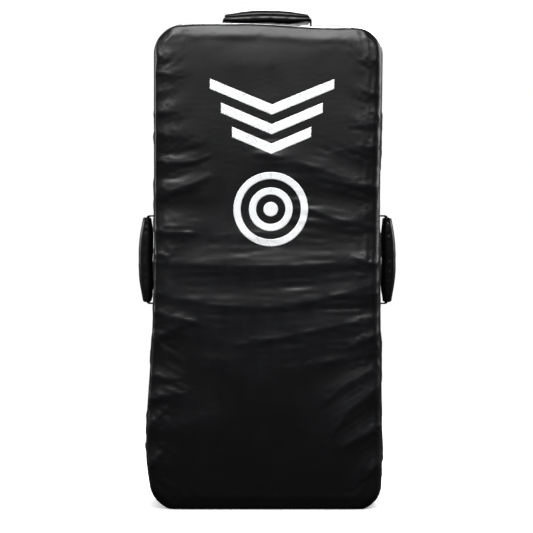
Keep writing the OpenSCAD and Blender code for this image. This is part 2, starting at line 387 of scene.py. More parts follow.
def nylon_finish(name, tint):
    """Smooth nylon with slow changes of polish."""
    s = Shader(name, Specular_IOR_Level=0.5)
    shade = s.cloud(0.004, 3)
    colour = s.tones(shade, tint, 0.8, 1.3)
    s.set(Base_Color=colour, Roughness=0.34 + shade * 0.14, Normal=s.bump(shade, 0.00008, 0.4))
    return s.material


def print_finish(name, tint):
    """Film crazed along cell edges, where slow noise lets it, and dulled by dust."""
    s = Shader(name, Specular_IOR_Level=0.4)
    cracks = s.cells(0.012, feature="DISTANCE_TO_EDGE")
    crazed = cracks.below(0.012, 0.02) * s.cloud(0.05, 3).below(0.38, 0.12)
    dust = s.cloud(0.03, 5, 0.65)
    base = s.tones(dust * 0.6, tint, 1, 0.9)
    colour = s.mix(crazed * 0.5, base, rgba(0.3, 0.31, 0.32))
    s.set(Base_Color=colour, Roughness=0.42 + dust * 0.16, Normal=s.bump(1 - crazed, 0.00008, 0.5))
    return s.material


FIRM_FOAM = foam_finish("closed cell foam", (0.075, 0.08, 0.085), 0.0012)
CORE_FOAM = foam_finish("open cell foam", (0.6, 0.56, 0.46), 0.0022)
CANVAS = canvas_finish("stiffened canvas", (0.055, 0.055, 0.06))
ZIP_METAL = metal_finish("dark zip metal", (0.17, 0.17, 0.18))
NYLON = nylon_finish("zip coil nylon", (0.014, 0.014, 0.015))
PRINT = print_finish("transfer film", (0.9, 0.92, 0.93))
print(len(bpy.data.materials), "materials")

# %% [markdown]
# ## The cover's shape
#
# Seen from the front the cover is a rectangle with rounded corners. Each panel is mapped over that
# outline by rows of equal height. How far a point lies inside the outline says where it is on the
# panel's rounded edge: at the outline itself is the seam, sunk in a groove, then comes a quarter turn,
# then the open face. The band between the panels shares the same grooves, so the pieces meet.

# %% Distance inside the outline
GRAIN = 2.8 * MM
EDGE_R = 16 * MM
SEAM_Y = FACE_Y - EDGE_R
EDGE_IN = -0.6 * MM
GROOVE = 2.6 * MM


def inside(x, z):
    """Distance in from the outline, and the outline's outward direction, at points of the face.

    The outline is a rectangle shrunk by the corner radius and grown back by it, so the distance is
    the radius less the distance from the shrunk rectangle.
    """
    r = np.where(z > TOP_Z / 2, TOP_CORNER, BASE_CORNER)
    qx, qz = np.abs(x) - (HALF_W - r), np.abs(z - TOP_Z / 2) - (TOP_Z / 2 - r)
    corner = (qx > 0) & (qz > 0)
    reach = np.where(corner, np.hypot(qx, qz), np.maximum(qx, qz))
    safe = np.maximum(reach, 1e-9)
    nx = np.where(corner, qx / safe, qx >= qz) * np.sign(x)
    nz = np.where(corner, qz / safe, qx < qz) * np.sign(z - TOP_Z / 2)
    return np.maximum(r - reach, 0), nx, nz


def half_width(z):
    """Half the outline's width at a height: full, less what the corner's circle takes away."""
    r = np.where(z > TOP_Z / 2, TOP_CORNER, BASE_CORNER)
    rise = np.maximum(r - np.minimum(z, TOP_Z - z), 0)
    return HALF_W - r + np.sqrt(np.maximum(r * r - rise * rise, 0))


# %% Edge of a panel


def panel_edge(d):
    """How far in and how far out a point lies, from its distance d along the panel's edge.

    A quarter circle from the seam to the face, drawn in at the seam by a groove that dies away.
    """
    arc = EDGE_R * math.pi / 2
    turn = np.clip(d / EDGE_R, 0, math.pi / 2)
    far = EDGE_IN + EDGE_R - arc
    inset = EDGE_IN + EDGE_R * (1 - np.cos(turn)) + GROOVE * np.exp(-d / (2.0 * MM))
    beyond = d + far * (1 - smooth((d - arc) / (45 * MM)))
    inset = np.where(d > arc, beyond, inset)
    return inset, SEAM_Y + EDGE_R * np.sin(turn)


# %% [markdown]
# ## How the cover has settled
#
# A used shield isn't true. It bulges at the bottom, most of all on the left. The front edge of the top
# sags at both ends, the upper part leans a little to the right, and the base is pressed flat by the
# floor. All are smooth movements of space, applied to every piece of the cover alike.

# %% Settling
SWELL_LEFT, SWELL_RIGHT = -12.5 * MM, 3.0 * MM
SWELL_Z, SWELL_BELOW, SWELL_ABOVE = 92 * MM, 70 * MM, 150 * MM
WAIST, WAIST_Z, WAIST_H = -0.9 * MM, 0.5, 0.09
SAG_RIGHT, SAG_LEFT = 6 * MM, 3 * MM
LEAN, LEAN_Z = 3.5 * MM, 0.42
PRESS, PRESS_H = 1.6 * MM, 6 * MM


def bell(x, wide):
    """Bell curve: the exponential of minus the square of x over its width."""
    return np.exp(-((x / wide) ** 2))


def settle(x, y, z):
    """Swell the lower sides, let the top sag and lean a little, and press the base to the floor.

    Each is a bell curve or a smooth step, times a length.
    """
    up = z - SWELL_Z
    low = np.where(z < SWELL_Z, bell(up, SWELL_BELOW), bell(up, SWELL_ABOVE))
    edge = smooth((np.abs(x) / HALF_W - 0.35) / 0.65)
    swell = np.where(x < 0, SWELL_LEFT, SWELL_RIGHT) * low * edge
    waist = np.where(x > 0, WAIST, 0) * bell(z - WAIST_Z, WAIST_H) * edge
    sag = SAG_RIGHT * smooth((x + 40 * MM) / (130 * MM)) + SAG_LEFT * smooth((-x - 0.1) / 0.06)
    sag = sag * smooth((-y - 21 * MM) / (26 * MM))
    lean = LEAN * smooth((z - LEAN_Z) / 0.3) * smooth((x / HALF_W + 1) / 1.6)
    z = z - sag * smooth((z - (TOP_Z - 0.11)) / 0.10) - PRESS * bell(z, PRESS_H)
    return x + swell + waist + lean, y, np.maximum(z, 0)


# %% [markdown]
# ## Folds
#
# The cover is longer than the foam, so it folds across. Each fold is a ridge along a bowed line: it
# rises from nothing at both ends, has a crisp crest and a steeper lower flank, as slack cloth has when
# it hangs over itself. The list is given in millimetres from the base centre: start, end, bow, width
# and height.

# %% Laying out the folds
FRONT_FOLDS = [
    ((-176, 382), (174, 384), -8, 25, 7.4), ((-176, 340), (172, 356), -36, 23, 7.4),
    ((-56, 254), (168, 300), -4, 18, 6.5), ((-30, 552), (158, 494), 5, 17, 5.5),
    ((84, 510), (160, 497), -3, 6, 2.6), ((-172, 541), (-84, 546), -11, 6, 2.6),
    ((-172, 470), (-86, 512), 3, 11, 2.8), ((-174, 429), (-112, 424), 2, 9, 4.2),
    ((-120, 424), (30, 412), 4, 20, 3.0), ((-174, 393), (-138, 391), 1, 6, 2.6),
    ((62, 464), (158, 435), -3, 12, 4.2), ((124, 388), (172, 371), 2, 7, 3.0),
    ((-174, 582), (-80, 555), 3, 14, 2.0), ((-172, 256), (-108, 290), 2, 9, 3.6),
    ((-172, 306), (-96, 284), 3, 11, 3.4), ((120, 250), (174, 276), 3, 10, 4.2),
    ((96, 330), (172, 336), -3, 9, 3.0), ((-110, 226), (20, 214), 5, 20, 2.4),
    ((50, 226), (174, 250), -5, 14, 3.2), ((-174, 214), (-120, 202), -3, 11, 2.8),
    ((100, 116), (177, 204), 9, 13, 6.0), ((112, 96), (176, 136), 4, 10, 5.0),
    ((136, 48), (178, 88), 3, 10, 4.4), ((84, 160), (170, 226), 6, 12, 4.4),
    ((-178, 96), (-142, 150), 3, 9, 5.4), ((-178, 160), (-116, 182), 4, 10, 5.0),
    ((-176, 60), (-140, 92), -3, 9, 4.2), ((-150, 120), (-60, 150), 5, 16, 2.6),
    ((-175, 706), (-140, 690), 2, 9, 1.8), ((-175, 672), (-132, 666), 3, 9, 2.2),
    ((-175, 640), (-140, 648), -2, 9, 1.6), ((-176, 612), (-126, 604), 3, 11, 1.8),
    ((132, 690), (175, 704), -2, 10, 1.8), ((132, 640), (175, 634), 3, 11, 2.2),
    ((120, 590), (175, 604), -3, 11, 2.8), ((96, 548), (174, 560), 4, 12, 3.2),
    ((-60, 612), (50, 602), 6, 26, 1.6), ((-110, 690), (90, 700), -8, 30, 1.4),
]
BACK_FOLDS = [
    ((-175, 640), (-90, 655), 4, 13, 2.2), ((60, 610), (175, 590), -5, 14, 2.2),
    ((-30, 420), (30, 395), 5, 14, 1.6), ((-175, 250), (-100, 230), 4, 12, 2.2),
    ((90, 225), (175, 240), -4, 12, 2.2), ((-60, 190), (80, 178), 5, 20, 1.6),
    ((-175, 520), (-120, 508), 3, 10, 2.0), ((120, 470), (175, 486), 3, 10, 2.0),
    ((-175, 150), (-110, 160), 3, 12, 2.0), ((-60, 560), (50, 548), 5, 20, 1.4),
    ((110, 700), (175, 690), 3, 12, 1.6), ((-175, 40), (-120, 50), 3, 12, 1.6),
]


def ridge(q):
    """A crest at 0: a steep lower flank below, a longer upper flank above, both dying away."""
    lower = np.exp(-np.abs(q / 0.55) ** 1.4)
    upper = np.exp(-np.abs(q / 1.25) ** 1.2)
    return np.where(q < 0, lower, upper)


def fold_height(x, z, folds):
    """Sum of bowed ridges. Along each, the height is that of a half sine raised to a small power."""
    total = np.zeros_like(x)
    for (x0, z0), (x1, z1), bow, width, height in folds:
        ax, az, bx, bz = (v * MM for v in (x0, z0, x1, z1))
        length = math.hypot(bx - ax, bz - az)
        ux, uz = (bx - ax) / length, (bz - az) / length
        along = ((x - ax) * ux + (z - az) * uz) / length
        off = (z - az) * ux - (x - ax) * uz - bow * MM * 4 * along * (1 - along)
        fade = np.sin(math.pi * np.clip(along * 0.94 + 0.03, 0, 1)) ** 0.6
        fade = fade * (along > -0.03) * (along < 1.03)
        total = total + height * MM * fade * ridge(off / (width * MM * (0.6 + 0.5 * fade)))
    return total


# %% [markdown]
# ## Puckers and slack
#
# Thread draws a seam shorter than the cloth, so short puckers stand along every seam. Between the
# folds the cloth is never flat: noise stretched sideways gives the shallow cross rolls that slack
# cloth takes.

# %% Puckers and slack


def puckers(s, depth, seed):
    """Short waves along a seam, at distance s along it, dying away with depth from it."""
    wave = noise(s, s * 0 + seed, 9 * MM, seed) + 0.6 * noise(s, s * 0 - seed, 4.5 * MM, seed + 1)
    return wave * np.exp(-depth / (9 * MM)) * smooth(depth / (2.5 * MM))


def slack(x, z, seed):
    """Shallow rolls, wider than high, with finer ones over them."""
    roll = noise(x, z + 0.12 * x, 34 * MM, seed) * 0.6
    roll = roll + noise(x * 0.35, z - 0.1 * x, 17 * MM, seed + 1) * 1.0
    return roll + noise(x * 0.5, z + 0.2 * x, 8 * MM, seed + 2) * 0.35


# %% [markdown]
# ## Letting the cloth settle
#
# The ridges are where the folds are, but real cloth decides how they look. The front of the cover is
# therefore simulated: a sheet cut a little too long, sewn along its border, lies against foam that
# follows the ridges. There is no gravity. The surplus alone makes it buckle between and around the
# ridges. What is kept is how far each point moved, capped, as a grid that the panel's surface adds.

# %% Cloth simulation
SIM_STEP = 4.6 * MM
SIM_EDGE = 9 * MM
SIM_FRAMES = 18
SURPLUS_X, SURPLUS_Z = 0.006, 0.02
MOVE_CAP = 8 * MM
FOAM_BEHIND = 1.8 * MM
CLOTH_GAP = 0.0008


def sim_grid():
    """Face coordinates of the simulated sheet, inside the panel's rounded edge."""
    x = np.linspace(-HALF_W + SIM_EDGE, HALF_W - SIM_EDGE, int(2 * (HALF_W - SIM_EDGE) / SIM_STEP))
    z = np.linspace(SIM_EDGE, TOP_Z - SIM_EDGE, int((TOP_Z - 2 * SIM_EDGE) / SIM_STEP))
    return x, z


def settle_cloth(start):
    """Move of each point of a sheet that starts at start, lies on foam and is longer than its border.

    The sheet's resting lengths are those of start times one plus the surplus. Along z they are added
    up row by row from the bottom. A move m is capped as cap times tanh of m over cap.
    """
    rows, cols = start.shape[:2]
    sheet = add_piece("settling_cloth", start, grid_faces(rows, cols))
    foam = (start + [0, FOAM_BEHIND, 0])[::2, ::2]
    block = add_piece("settling_foam", foam, grid_faces(*foam.shape[:2]))
    longer = start.copy()
    longer[..., 0] *= 1 + SURPLUS_X
    step = np.diff(start[:, 0, 2], prepend=start[0, 0, 2]) * (1 + SURPLUS_Z)
    longer[..., 2] = np.cumsum(step)[:, None]
    sheet.shape_key_add(name="Basis")
    rest = sheet.shape_key_add(name="rest")
    rest.data.foreach_set("co", longer.reshape(-1, 3).ravel())
    border = np.zeros((rows, cols), bool)
    border[[0, -1]] = border[:, [0, -1]] = True
    sewn = sheet.vertex_groups.new(name="sewn")
    sewn.add(np.flatnonzero(border).tolist(), 1.0, "REPLACE")
    block.modifiers.new("foam", "COLLISION")
    block.collision.thickness_outer = CLOTH_GAP
    block.collision.cloth_friction = 8
    cloth = sheet.modifiers.new("cloth", "CLOTH")
    cfg = cloth.settings
    cfg.quality, cfg.mass, cfg.air_damping = 5, 0.35, 2.0
    cfg.tension_stiffness = cfg.compression_stiffness = 80
    cfg.shear_stiffness, cfg.bending_stiffness = 25, 0.02
    cfg.tension_damping = cfg.compression_damping = cfg.bending_damping = 2
    cfg.vertex_group_mass, cfg.rest_shape_key = "sewn", rest
    cfg.effector_weights.gravity = 0.0
    cloth.collision_settings.distance_min = CLOTH_GAP
    cloth.point_cache.frame_end = SIM_FRAMES
    for frame_number in range(1, SIM_FRAMES + 1):
        bpy.context.scene.frame_set(frame_number)
    made = sheet.evaluated_get(bpy.context.evaluated_depsgraph_get()).data
    end = np.empty(rows * cols * 3)
    made.vertices.foreach_get("co", end)
    bpy.context.scene.frame_set(1)
    move = end.reshape(rows, cols, 3) - start
    for piece in (sheet, block):
        bpy.data.objects.remove(piece)
    size = np.linalg.norm(move, axis=-1, keepdims=True)
    print(f"cloth moved {size.mean() / MM:.2f} mm on average, {size.max() / MM:.1f} at most")
    return move * (MOVE_CAP * np.tanh(size / MOVE_CAP) / np.maximum(size, 1e-9))


def cubic(field, x, z):
    """Values of a grid field between its points: Catmull-Rom weights along both directions."""
    gx, gz = sim_grid()
    fx = np.clip((x - gx[0]) / (gx[1] - gx[0]), 0, len(gx) - 1.001)
    fz = np.clip((z - gz[0]) / (gz[1] - gz[0]), 0, len(gz) - 1.001)
    i, j = np.floor(fx).astype(int), np.floor(fz).astype(int)
    total = 0
    for dj, wz in enumerate(catmull(fz - j)):
        for di, wx in enumerate(catmull(fx - i)):
            row = np.clip(j + dj - 1, 0, len(gz) - 1)
            col = np.clip(i + di - 1, 0, len(gx) - 1)
            total = total + field[row, col] * (wx * wz)[..., None]
    return total


def catmull(t):
    """The four weights of a Catmull-Rom curve at t from 0 to 1."""
    return (t * (-0.5 + t * (1 - 0.5 * t)), 1 + t * t * (-2.5 + 1.5 * t),
            t * (0.5 + t * (2 - 1.5 * t)), t * t * (-0.5 + 0.5 * t))


# %% Front and back faces
FRONT_MOVE = None
CROWN, BELLY, BELLY_Z = 6.0 * MM, 2.0 * MM, 0.14
ARM_X, ARM_Z = 80 * MM, 0.4
PUCKER = 0.9


def crown(x, z):
    """How far the foam pushes the face out: it rises from every edge as one less an exponential.

    A belly, a bell curve over the height, adds a little low down.
    """
    side = 1 - np.exp(-(HALF_W - np.abs(x)) / (32 * MM))
    end = 1 - np.exp(-np.minimum(z, TOP_Z - z) / (55 * MM))
    return side * end * (CROWN + BELLY * bell(z - BELLY_Z, 0.13))


def front_surface(x, z):
    """Points of the front panel over face coordinates x and z, and how far each fold stands."""
    d, nx, nz = inside(x, z)
    inset, out = panel_edge(d)
    open_face = smooth((d - 5 * MM) / (14 * MM))
    middle = smooth((z - 0.16) / 0.12) * (1 - smooth((z - 0.56) / 0.12))
    folds = fold_height(x, z, FRONT_FOLDS)
    rolls = slack(x, z, 11) * (0.35 + 0.75 * middle) * MM
    s = np.where(np.abs(nx) > 0.7, z, x)
    rise = crown(x, z) + (folds + rolls) * open_face + puckers(s, d, 3) * PUCKER * MM
    px, pz = x + nx * (d - inset), z + nz * (d - inset)
    py = -(out + rise)
    if FRONT_MOVE is not None:
        move = cubic(FRONT_MOVE, x, z) * smooth((d - SIM_EDGE * 0.6) / (8 * MM))[..., None]
        px, py, pz = px + move[..., 0], py + move[..., 1], pz + move[..., 2]
        folds = folds + np.maximum(-move[..., 1], 0)
    px, py, pz = settle(px, py, pz)
    return np.stack([px, py, pz], -1), folds * open_face


def back_surface(x, z):
    """Points of the back panels. The firm back foam keeps them flat, so folds are few and low.

    Beside the zip and under the arm straps, where cloth is sewn down, there are none.
    """
    d, nx, nz = inside(x, z)
    inset, out = panel_edge(d)
    calm = 1 - bell(z - ZIP_Z, 22 * MM)
    under = plateau(np.abs(x) - ARM_X, 32 * MM) * plateau(z - ARM_Z, 0.21)
    open_face = smooth((d - 5 * MM) / (14 * MM)) * calm * (1 - under)
    folds = fold_height(x, z, BACK_FOLDS)
    s = np.where(np.abs(nx) > 0.7, z, x)
    rolls = (slack(x, z, 41) * 0.9 + 0.6) * MM
    rise = (folds * 1.3 + rolls) * open_face + puckers(s, d, 7) * PUCKER * MM
    px, pz = x + nx * (d - inset), z + nz * (d - inset)
    px, py, pz = settle(px, out + rise, pz)
    return np.stack([px, py, pz], -1), folds * open_face


# %% [markdown]
# ## The three panels
#
# Rows and columns crowd together towards the seams, where the surface turns fastest. A panel is one
# sheet, thickened inwards to the fabric's real thickness. The back is two panels: along the zip their
# edges are turned under, and past its ends they meet.

# %% Rows and columns
CROWD = np.array([0, 0.5, 1.1, 1.8, 2.7, 3.8, 5.2, 6.9, 8.9, 11.2, 13.8, 16.8, 20.0]) * MM


def crowded(low, high, step=GRAIN):
    """Stations from low to high, close together at both ends and a step apart between."""
    inner = np.linspace(low + CROWD[-1], high - CROWD[-1], int((high - low) / step))
    return np.concatenate([low + CROWD[:-1], inner, (high - CROWD[:-1])[::-1]])


def face_grid(rows):
    """Face coordinates over the outline: each row spans the outline's width at its height."""
    across = crowded(-HALF_W, HALF_W)
    wide = half_width(rows)[:, None]
    edge = HALF_W - np.abs(across)[None, :]
    near = edge < CROWD[-1] + 1e-9
    squeezed = across[None, :] * (wide - CROWD[-1]) / (HALF_W - CROWD[-1])
    x = np.where(near, np.sign(across)[None, :] * (wide - edge), squeezed)
    return x, np.broadcast_to(rows[:, None], x.shape)


def set_crest(piece, height):
    """Store how strongly each point is a crest, from 0 to 1, for the painted sheen along the fabric's
    crests.
    """
    layer = piece.data.attributes.new("crest", "FLOAT", "POINT")
    layer.data.foreach_set("value", np.clip(height / (4 * MM), 0, 1).ravel())


def cover_panel(name, points, crest, x, z, facing):
    """A panel of the cover from its grid of points; facing is 1 for a face turned towards -Y."""
    faces = grid_faces(*x.shape)
    if facing < 0:
        faces = [face[::-1] for face in faces]
    piece = add_piece(name, points, faces, np.stack([x, z], -1))
    set_crest(piece, crest)
    piece.data.materials.append(COVER)
    thicken(piece, SKIN)
    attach(piece, "shield")
    return piece


# %% Settle the front
sheet_x, sheet_z = np.meshgrid(*sim_grid())
FRONT_MOVE = settle_cloth(front_surface(sheet_x, sheet_z)[0])

# %% Front panel
face_x, face_z = face_grid(crowded(0, TOP_Z))
points, crest = front_surface(face_x, face_z)
front = cover_panel("front_cover", points, crest, face_x, face_z, 1)
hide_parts("front_panel")
print("front panel:", len(front.data.polygons), "faces")

# %% Back panels
SLOT = 6 * MM
LIP, LIP_DEPTH = 1.6 * MM, 1.1 * MM


def slot_edge(x):
    """Half the zip slot's height at the settled x: full along the zip, nothing past its ends."""
    return SLOT * (1 - smooth((np.abs(x) - ZIP_HALF + 1 * MM) / (6 * MM)))


def back_panel(name, low, high, side):
    """One back panel; side is 1 above the zip and -1 below it, where its edge is turned under."""
    x, z = face_grid(crowded(low, high))
    edge = slot_edge(back_surface(x, z)[0][..., 0])
    near = smooth(1 - np.abs(z - ZIP_Z) / (40 * MM))
    z = z + side * edge * near
    points, crest = back_surface(x, z)
    lip = np.clip(1 - (np.abs(z - ZIP_Z) - edge) / LIP, 0, 1)
    points[..., 1] -= LIP_DEPTH * (1 - np.sqrt(1 - lip ** 2))
    return cover_panel(name, points, crest, x, z, -1)


upper = back_panel("back_cover_upper", ZIP_Z, TOP_Z, 1)
lower = back_panel("back_cover_lower", 0, ZIP_Z, -1)
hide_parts("back_panel_upper")
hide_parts("back_panel_lower")

# %% [markdown]
# ## The side band
#
# Four strips run round the edge between the panels: a U over the top corners, a U under the bottom
# corners, and a straight strip on each long side. Across its width a strip swells between its two
# grooves. Where two strips are joined their ends are turned in, which leaves a small step in the
# outline. On the floor the bottom strip lies flat.

# %% Along the outline


def outline_path(kind, step=3.0 * MM):
    """Points and outward directions along one strip, and the distance along it."""
    arc = np.linspace(0, math.pi / 2, 24)
    if kind in ("left", "right"):
        side = -1 if kind == "left" else 1
        z = crowded(*JOINT_Z[kind], step)
        spine = np.stack([np.full_like(z, side * HALF_W), z], -1)
        out = np.stack([np.full_like(z, float(side)), np.zeros_like(z)], -1)
        return spine, out, z
    top = kind == "top"
    r = TOP_CORNER if top else BASE_CORNER
    turn = TOP_Z - r if top else r
    up = 1 if top else -1
    flat = np.linspace(-(HALF_W - r), HALF_W - r, int(2 * (HALF_W - r) / step))[1:-1]
    halves = []
    for side, name in ((-1, "left"), (1, "right")):
        end = JOINT_Z[name][1 if top else 0]
        leg = end + up * crowded(0, abs(turn - end), step)[:-1]
        x = np.concatenate([np.full_like(leg, HALF_W), HALF_W - r + r * np.cos(arc)])
        z = np.concatenate([leg, turn + up * r * np.sin(arc)])
        nx = np.concatenate([np.ones_like(leg), np.cos(arc)])
        nz = np.concatenate([np.zeros_like(leg), up * np.sin(arc)])
        halves.append((np.stack([side * x, z], -1), np.stack([side * nx, nz], -1)))
    level = np.stack([flat, np.full_like(flat, turn + up * r)], -1)
    n_level = np.tile([0.0, float(up)], (len(level), 1))
    (left, n_left), (right, n_right) = halves
    spine = np.concatenate([left, level, right[::-1]])
    out = np.concatenate([n_left, n_level, n_right[::-1]])
    s = np.concatenate([[0], np.cumsum(np.hypot(*np.diff(spine, axis=0).T))])
    return spine, out, s


# %% A strip of the band
SWELLING = {"left": 2.2, "right": 2.2, "top": 1.6, "bottom": 1.6}
SIDE_HANDLE_Z = 0.385
HANDLE_LONG, HANDLE_WIDE = 0.15, 0.03


def strip(name, kind, seed):
    """A strip: outline point plus outward direction times a swelling that sinks at every seam.

    Under a handle's sewn ends the cloth is held flat, and on the floor the bottom strip is pressed.
    """
    spine, out, s = outline_path(kind)
    y = crowded(-SEAM_Y, SEAM_Y)
    depth = SEAM_Y - np.abs(y)
    grid_s, grid_y = np.meshgrid(s, y, indexing="ij")
    seam = (EDGE_IN + GROOVE) * np.exp(-depth / (3.2 * MM))[None, :]
    ends = np.minimum(grid_s - s[0], s[-1] - grid_s)
    joint = 2.6 * MM * np.exp(-ends / (2.6 * MM)) - 0.8 * MM * bell(ends - 9 * MM, 6 * MM)
    level = 1 - (y / SEAM_Y) ** 2
    swell = SWELLING[kind] * MM * level[None, :] ** 0.7
    crumple = noise(grid_s, grid_y * 0.45, 26 * MM, seed) * 1.1
    crumple = crumple + noise(grid_s, grid_y * 0.5, 12 * MM, seed + 1) * 0.7
    crumple = crumple * MM * smooth(depth / (12 * MM))[None, :]
    pinch = puckers(grid_s, np.broadcast_to(depth, grid_s.shape), seed + 3) * 0.8 * MM
    rise = np.maximum(swell + crumple * 1.2 + pinch, -0.3 * MM) - seam - joint
    rise = np.maximum(rise, -2.4 * MM)
    floor_part = smooth((-out[:, 1:] - 0.35) / 0.5) if kind == "bottom" else 0
    rise = rise * (1 - floor_part) - floor_part * (seam + 0.25 * MM)
    sewn = 0
    if kind in ("left", "right"):
        sewn = plateau(spine[:, 1:] - SIDE_HANDLE_Z, HANDLE_LONG) * plateau(y[None, :], HANDLE_WIDE)
    if kind == "top":
        sewn = plateau(spine[:, :1], HANDLE_LONG) * plateau(y[None, :], HANDLE_WIDE) * (out[:, 1:] > 0.9)
    rise = np.where(rise > 0, rise * (1 - sewn), rise)
    px, pz = spine[:, :1] + out[:, :1] * rise, spine[:, 1:] + out[:, 1:] * rise
    px, py, pz = settle(px, np.broadcast_to(y, px.shape), pz)
    faces = grid_faces(*px.shape)
    if kind in ("left", "top"):
        faces = [face[::-1] for face in faces]
    piece = add_piece(name, np.stack([px, py, pz], -1), faces, np.stack([grid_s, grid_y], -1))
    # The tops of the crumples take the painted sheen of the crests.
    set_crest(piece, np.maximum(crumple, 0) * 2)
    piece.data.materials.append(COVER)
    thicken(piece, SKIN)
    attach(piece, "shield")
    return piece


for kind, seed in (("left", 21), ("right", 24), ("top", 27), ("bottom", 30)):
    piece = strip("side_band_" + kind, kind, seed)
    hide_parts("gusset_" + kind)
    print(piece.name, len(piece.data.polygons), "faces")

# %% [markdown]
# ## The printed target
#
# The print is a film pressed into the fabric, so it must follow every fold. Each shape is a grid of
# face coordinates sent through the same surface as the front panel, a hair in front of it.

# %% Film over the folds
FILM = 0.35 * MM
box_lo, box_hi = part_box("target_print")
FILM_X = (box_lo.x + box_hi.x) / 2


def on_front(x, z):
    """Points a film's thickness in front of the panel."""
    points, _ = front_surface(x, z)
    points[..., 1] -= FILM
    return points


def film(name, grids, node):
    """One film piece from several grids of face coordinates."""
    verts, faces, uvs, count = [], [], [], 0
    for x, z in grids:
        verts.append(on_front(x, z).reshape(-1, 3))
        faces += [[count + i for i in face] for face in grid_faces(*x.shape)]
        uvs.append(np.stack([x, z], -1).reshape(-1, 2))
        count += x.size
    piece = add_piece(name, np.concatenate(verts), faces, np.concatenate(uvs))
    piece.data.materials.append(PRINT)
    thicken(piece, FILM * 0.9)
    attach(piece, "shield")
    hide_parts(node)


# %% Rings and chevrons


def ring(cx, cz, r0, r1):
    """Polar grid between two radii."""
    turn, r = np.meshgrid(np.linspace(0, 2 * math.pi, 181), np.linspace(r0, r1, 8), indexing="ij")
    return cx + r * np.sin(-turn), cz + r * np.cos(-turn)


def chevron(cx, cz, half, thick, drop):
    """A V of even height: across runs from arm to arm, up runs through its thickness."""
    across, up = np.meshgrid(np.linspace(-1, 1, 121), np.linspace(0, 1, 10), indexing="ij")
    return cx + across * half, cz + np.abs(across) * drop + up * thick


TARGET_Z = (box_lo.z + box_hi.z) / 2
RING_R = (box_hi.z - box_lo.z) / 2 / 0.92
bands = [(0, 0.18), (0.36, 0.54), (0.74, 0.92)]
rings = [ring(FILM_X, TARGET_Z, RING_R * a, RING_R * b) for a, b in bands]
film("printed_target", rings, "target_print")
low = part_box("chevron_print")[0]
vees = [chevron(FILM_X, low.z + i * 30 * MM, (60 + i * 17) * MM, 16 * MM, (26 + i * 7) * MM)
        for i in range(3)]
vees = [(x[::-1], z[::-1]) for x, z in vees]
film("printed_chevrons", vees, "chevron_print")

# %% [markdown]
# ## Handles and arm straps
#
# All five are built the same way: one length of webbing, sewn flat to the cover at both ends, stands
# up, runs through a padded grip and comes down again. Each has its own frame: u along it, v across it
# and w out of the cover. A point's place is origin plus u, v and w times their directions.

# %% Frames of the five handles
LEG_T = 1.6 * MM
LEG_BEND = 5 * MM
TAB_L = 45 * MM
TAB_GAP = 0.4 * MM
TURNS = {"top": ((1, 0, 0), (0, 1, 0), (0, 0, 1)), "left": ((0, 0, 1), (0, 1, 0), (-1, 0, 0)),
         "right": ((0, 0, -1), (0, 1, 0), (1, 0, 0)), "back": ((0, 0, -1), (-1, 0, 0), (0, 1, 0))}


class Handle:
    """One handle's frame and sizes, read from the boxes of its CAD nodes."""

    def __init__(self, name, turn, body, end_drop, thick, end_thick):
        self.name, self.body = name, body
        self.axes = np.array(TURNS[turn], float)
        strap, sleeve = self.local(name + "_webbing"), self.local(name + "_sleeve")
        tabs = self.local(name + "_tabs")
        self.base = tabs[0][2]
        self.mid = (tabs[0][:2] + tabs[1][:2]) / 2
        self.span = strap[1][0] - strap[0][0]
        self.strap_w = strap[1][1] - strap[0][1]
        self.band_w = sleeve[1][1] - sleeve[0][1]
        self.rise = sleeve[1][2] - self.base
        self.end_drop, self.thick, self.end_thick = end_drop, thick, end_thick
        self.reach = self.span / 2 - LEG_T / 2 - LEG_BEND

    def local(self, node):
        """A node's lowest and highest corners in the handle's frame."""
        ends = np.array([list(v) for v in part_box(node)]) @ self.axes.T
        return ends.min(0), ends.max(0)

    def world(self, u, v, w):
        """Row-frame points of local u, v, w, where w counts from the cover."""
        local = np.stack([u + self.mid[0], v + self.mid[1], w + self.base], -1)
        return local @ self.axes

    def top(self, u):
        return self.rise - self.end_drop * (u / self.reach) ** 2

    def depth(self, u):
        return self.thick + (self.end_thick - self.thick) * np.abs(u / self.reach) ** 3

    def middle(self, u):
        return self.top(u) - self.depth(u) / 2


OUTER = dict(end_drop=7 * MM, thick=21.4 * MM, end_thick=12 * MM)
ARM = dict(end_drop=14 * MM, thick=16 * MM, end_thick=9 * MM)
handles = [Handle("top_handle", "top", "top_handle", **OUTER),
           Handle("left_handle", "left", "left_handle", **OUTER),
           Handle("right_handle", "right", "right_handle", **OUTER),
           Handle("left_arm", "back", "left_arm_strap", **ARM),
           Handle("right_arm", "back", "right_arm_strap", **ARM)]
print([(h.name, round(h.span, 3), round(h.rise, 4)) for h in handles])

# %% [markdown]
# ## Padded grips
#
# A grip is a foam core in coated fabric, folded round and sewn shut along both edges. Side on it is a
# lens, deepest in the hand. The cross-section is a rounded oblong, pinched where the edge seams run,
# and its ends are gathered down onto the webbing. The underside wrinkles where the grip bows.

# %% Grip surface


